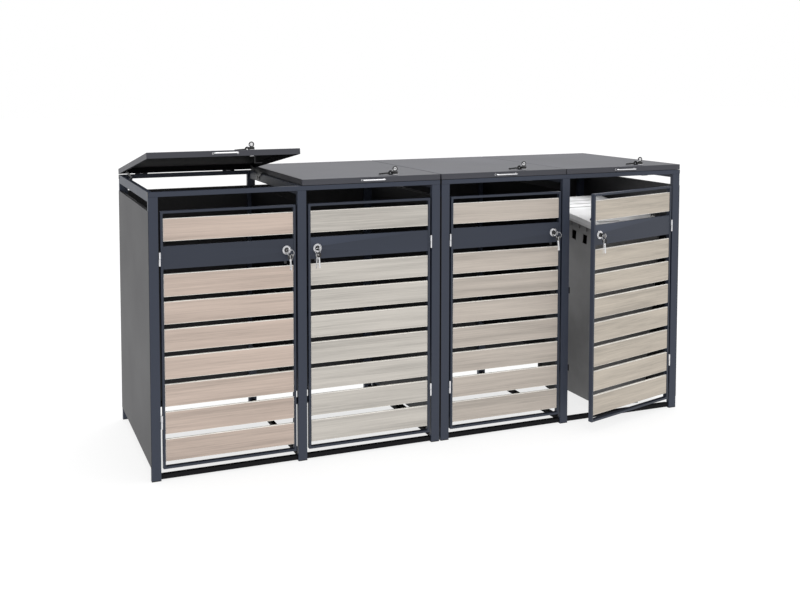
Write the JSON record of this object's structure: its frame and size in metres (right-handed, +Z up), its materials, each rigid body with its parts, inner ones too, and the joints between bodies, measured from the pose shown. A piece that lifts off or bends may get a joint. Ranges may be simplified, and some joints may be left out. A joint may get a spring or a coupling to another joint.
{
  "type": "recycling bin station",
  "caption": "Row of lidded metal cabinets with slatted lockable front doors, hinged lids on folding stays, and a wheeled bin standing in an end bay.",
  "frame": {"origin": "on the ground at the middle of the station's footprint, between the feet and halfway from the front posts' faces to the back panels", "axes": "+X along the row of bays, from the left end to the right end seen from the doors; +Y from the doors to the back; +Z up"},
  "size_m": [2.64, 0.9847, 1.3871],
  "materials": {
    "frame_paint": "fine-textured anthracite powder coat",
    "dark_paint": "fine-textured near-black powder coat",
    "panel_paint": "fine-textured grey powder coat on sheet metal",
    "slat_wood": "pale greige oak decor with fine level grain, matte",
    "black_plastic": "black moulded plastic",
    "zinc_steel": "zinc-plated steel",
    "steel_pin": "drawn stainless steel",
    "chrome": "polished chrome plate",
    "key_steel": "nickel-plated steel",
    "bin_plastic": "dark grey moulded plastic",
    "bin_lid_plastic": "light grey moulded plastic",
    "wheel_rubber": "black rubber"
  },
  "bodies": {
    "station": {"front_posts": "frame_paint", "back_posts": "frame_paint", "top_rails": "frame_paint", "depth_rails": "frame_paint", "base_rails": "dark_paint", "tube_caps": "black_plastic", "side_panels": "panel_paint", "partition_panels": "dark_paint", "back_panels": "panel_paint", "joining_bolts": "zinc_steel", "door_hinge_posts": "chrome", "hinge_pins": "steel_pin", "lid_hinge_backs": "chrome", "door_stops": "frame_paint", "stay_frame_brackets": "zinc_steel", "bin_body": "bin_plastic", "bin_axle": "zinc_steel"},
    "door_1": {"door_1_frame": "frame_paint", "door_1_slats": "slat_wood", "door_1_lock_panel": "frame_paint", "door_1_fittings": "chrome"},
    "door_1_key_cam": {"door_1_key": "key_steel"},
    "lid_1": {"lid_1_panel": "panel_paint", "lid_1_fittings": "chrome"},
    "lid_1_key_cam": {"lid_1_key": "key_steel"},
    "lid_1_lower_arms": {"lid_1_stay_lower_arms": "zinc_steel"},
    "lid_1_upper_arms": {"lid_1_stay_upper_arms": "zinc_steel"},
    "door_2": {"door_2_frame": "frame_paint", "door_2_slats": "slat_wood", "door_2_lock_panel": "frame_paint", "door_2_fittings": "chrome"},
    "door_2_key_cam": {"door_2_key": "key_steel"},
    "lid_2": {"lid_2_panel": "panel_paint", "lid_2_fittings": "chrome"},
    "lid_2_key_cam": {"lid_2_key": "key_steel"},
    "lid_2_lower_arms": {"lid_2_stay_lower_arms": "zinc_steel"},
    "lid_2_upper_arms": {"lid_2_stay_upper_arms": "zinc_steel"},
    "door_3": {"door_3_frame": "frame_paint", "door_3_slats": "slat_wood", "door_3_lock_panel": "frame_paint", "door_3_fittings": "chrome"},
    "door_3_key_cam": {"door_3_key": "key_steel"},
    "lid_3": {"lid_3_panel": "panel_paint", "lid_3_fittings": "chrome"},
    "lid_3_key_cam": {"lid_3_key": "key_steel"},
    "lid_3_lower_arms": {"lid_3_stay_lower_arms": "zinc_steel"},
    "lid_3_upper_arms": {"lid_3_stay_upper_arms": "zinc_steel"},
    "door_4": {"door_4_frame": "frame_paint", "door_4_slats": "slat_wood", "door_4_lock_panel": "frame_paint", "door_4_fittings": "chrome"},
    "door_4_key_cam": {"door_4_key": "key_steel"},
    "lid_4": {"lid_4_panel": "panel_paint", "lid_4_fittings": "chrome"},
    "lid_4_key_cam": {"lid_4_key": "key_steel"},
    "lid_4_lower_arms": {"lid_4_stay_lower_arms": "zinc_steel"},
    "lid_4_upper_arms": {"lid_4_stay_upper_arms": "zinc_steel"},
    "bin_lid": {"bin_lid": "bin_lid_plastic"},
    "bin_wheel_left": {"bin_wheel_left": "wheel_rubber"},
    "bin_wheel_right": {"bin_wheel_right": "wheel_rubber"}
  },
  "joints": [
    {"name": "door_1_hinge", "type": "hinge", "parent": "station", "child": "door_1", "pos_m": [-1.2743, -0.402, 0.584], "axis": [0, 0, -1], "range_deg": [0, 110]},
    {"name": "door_1_lock", "type": "hinge", "parent": "door_1", "child": "door_1_key_cam", "pos_m": [-0.7311, -0.4, 0.9262], "axis": [0, -1, 0], "range_deg": [0, 90]},
    {"name": "lid_1_hinge", "type": "hinge", "parent": "station", "child": "lid_1", "pos_m": [-0.9915, 0.4045, 1.199], "axis": [-1, 0, 0], "range_deg": [-9.6, 60.4]},
    {"name": "lid_1_lock", "type": "hinge", "parent": "lid_1", "child": "lid_1_key_cam", "pos_m": [-0.8635, -0.33743, 1.33666], "axis": [0, -0.1668, -0.986], "range_deg": [0, 90]},
    {"name": "lid_1_stay_lower", "type": "hinge", "parent": "station", "child": "lid_1_lower_arms", "pos_m": [-0.9915, 0.2255, 1.177], "axis": [-1, 0, 0], "range_deg": [-9.6, 60.4]},
    {"name": "lid_1_stay_upper", "type": "hinge", "parent": "lid_1", "child": "lid_1_upper_arms", "pos_m": [-0.9915, 0.33748, 1.22251], "axis": [-1, 0, 0], "range_deg": [-60.4, 9.6]},
    {"name": "door_2_hinge", "type": "hinge", "parent": "station", "child": "door_2", "pos_m": [-0.0487, -0.402, 0.584], "axis": [0, 0, 1], "range_deg": [0, 90]},
    {"name": "door_2_lock", "type": "hinge", "parent": "door_2", "child": "door_2_key_cam", "pos_m": [-0.5919, -0.4, 0.9262], "axis": [0, 1, 0], "range_deg": [0, 90]},
    {"name": "lid_2_hinge", "type": "hinge", "parent": "station", "child": "lid_2", "pos_m": [-0.3315, 0.4045, 1.199], "axis": [-1, 0, 0], "range_deg": [0, 70]},
    {"name": "lid_2_lock", "type": "hinge", "parent": "lid_2", "child": "lid_2_key_cam", "pos_m": [-0.2035, -0.35, 1.211], "axis": [0, 0, -1], "range_deg": [0, 90]},
    {"name": "lid_2_stay_lower", "type": "hinge", "parent": "station", "child": "lid_2_lower_arms", "pos_m": [-0.3315, 0.2255, 1.177], "axis": [-1, 0, 0], "range_deg": [0, 70]},
    {"name": "lid_2_stay_upper", "type": "hinge", "parent": "lid_2", "child": "lid_2_upper_arms", "pos_m": [-0.3315, 0.3345, 1.211], "axis": [-1, 0, 0], "range_deg": [-70, 0]},
    {"name": "door_3_hinge", "type": "hinge", "parent": "station", "child": "door_3", "pos_m": [0.0487, -0.402, 0.584], "axis": [0, 0, -1], "range_deg": [0, 90]},
    {"name": "door_3_lock", "type": "hinge", "parent": "door_3", "child": "door_3_key_cam", "pos_m": [0.5919, -0.4, 0.9262], "axis": [0, -1, 0], "range_deg": [0, 90]},
    {"name": "lid_3_hinge", "type": "hinge", "parent": "station", "child": "lid_3", "pos_m": [0.3315, 0.4045, 1.199], "axis": [-1, 0, 0], "range_deg": [0, 70]},
    {"name": "lid_3_lock", "type": "hinge", "parent": "lid_3", "child": "lid_3_key_cam", "pos_m": [0.4595, -0.35, 1.211], "axis": [0, 0, -1], "range_deg": [0, 90]},
    {"name": "lid_3_stay_lower", "type": "hinge", "parent": "station", "child": "lid_3_lower_arms", "pos_m": [0.3315, 0.2255, 1.177], "axis": [-1, 0, 0], "range_deg": [0, 70]},
    {"name": "lid_3_stay_upper", "type": "hinge", "parent": "lid_3", "child": "lid_3_upper_arms", "pos_m": [0.3315, 0.3345, 1.211], "axis": [-1, 0, 0], "range_deg": [-70, 0]},
    {"name": "door_4_hinge", "type": "hinge", "parent": "station", "child": "door_4", "pos_m": [1.2743, -0.402, 0.584], "axis": [0, 0, 1], "range_deg": [-15, 95]},
    {"name": "door_4_lock", "type": "hinge", "parent": "door_4", "child": "door_4_key_cam", "pos_m": [0.74909, -0.54066, 0.9262], "axis": [-0.2588, 0.9659, 0], "range_deg": [0, 90]},
    {"name": "lid_4_hinge", "type": "hinge", "parent": "station", "child": "lid_4", "pos_m": [0.9915, 0.4045, 1.199], "axis": [-1, 0, 0], "range_deg": [0, 70]},
    {"name": "lid_4_lock", "type": "hinge", "parent": "lid_4", "child": "lid_4_key_cam", "pos_m": [1.1195, -0.35, 1.211], "axis": [0, 0, -1], "range_deg": [0, 90]},
    {"name": "lid_4_stay_lower", "type": "hinge", "parent": "station", "child": "lid_4_lower_arms", "pos_m": [0.9915, 0.2255, 1.177], "axis": [-1, 0, 0], "range_deg": [0, 70]},
    {"name": "lid_4_stay_upper", "type": "hinge", "parent": "lid_4", "child": "lid_4_upper_arms", "pos_m": [0.9915, 0.3345, 1.211], "axis": [-1, 0, 0], "range_deg": [-70, 0]},
    {"name": "bin_lid_hinge", "type": "hinge", "parent": "station", "child": "bin_lid", "pos_m": [1.0558, 0.18183, 0.99425], "axis": [-1, 0, 0], "range_deg": [0, 18]},
    {"name": "bin_wheel_left_spin", "type": "hinge", "parent": "station", "child": "bin_wheel_left", "pos_m": [0.9068, 0.06992, 0.1], "axis": [1, 0, 0], "continuous": true},
    {"name": "bin_wheel_right_spin", "type": "hinge", "parent": "station", "child": "bin_wheel_right", "pos_m": [1.2048, 0.06992, 0.1], "axis": [1, 0, 0], "continuous": true}
  ],
  "couplings": [
    {"joint": "lid_1_stay_lower", "follows": "lid_1_hinge", "ratio": 1},
    {"joint": "lid_1_stay_upper", "follows": "lid_1_hinge", "ratio": -1},
    {"joint": "lid_2_stay_lower", "follows": "lid_2_hinge", "ratio": 1},
    {"joint": "lid_2_stay_upper", "follows": "lid_2_hinge", "ratio": -1},
    {"joint": "lid_3_stay_lower", "follows": "lid_3_hinge", "ratio": 1},
    {"joint": "lid_3_stay_upper", "follows": "lid_3_hinge", "ratio": -1},
    {"joint": "lid_4_stay_lower", "follows": "lid_4_hinge", "ratio": 1},
    {"joint": "lid_4_stay_upper", "follows": "lid_4_hinge", "ratio": -1}
  ]
}
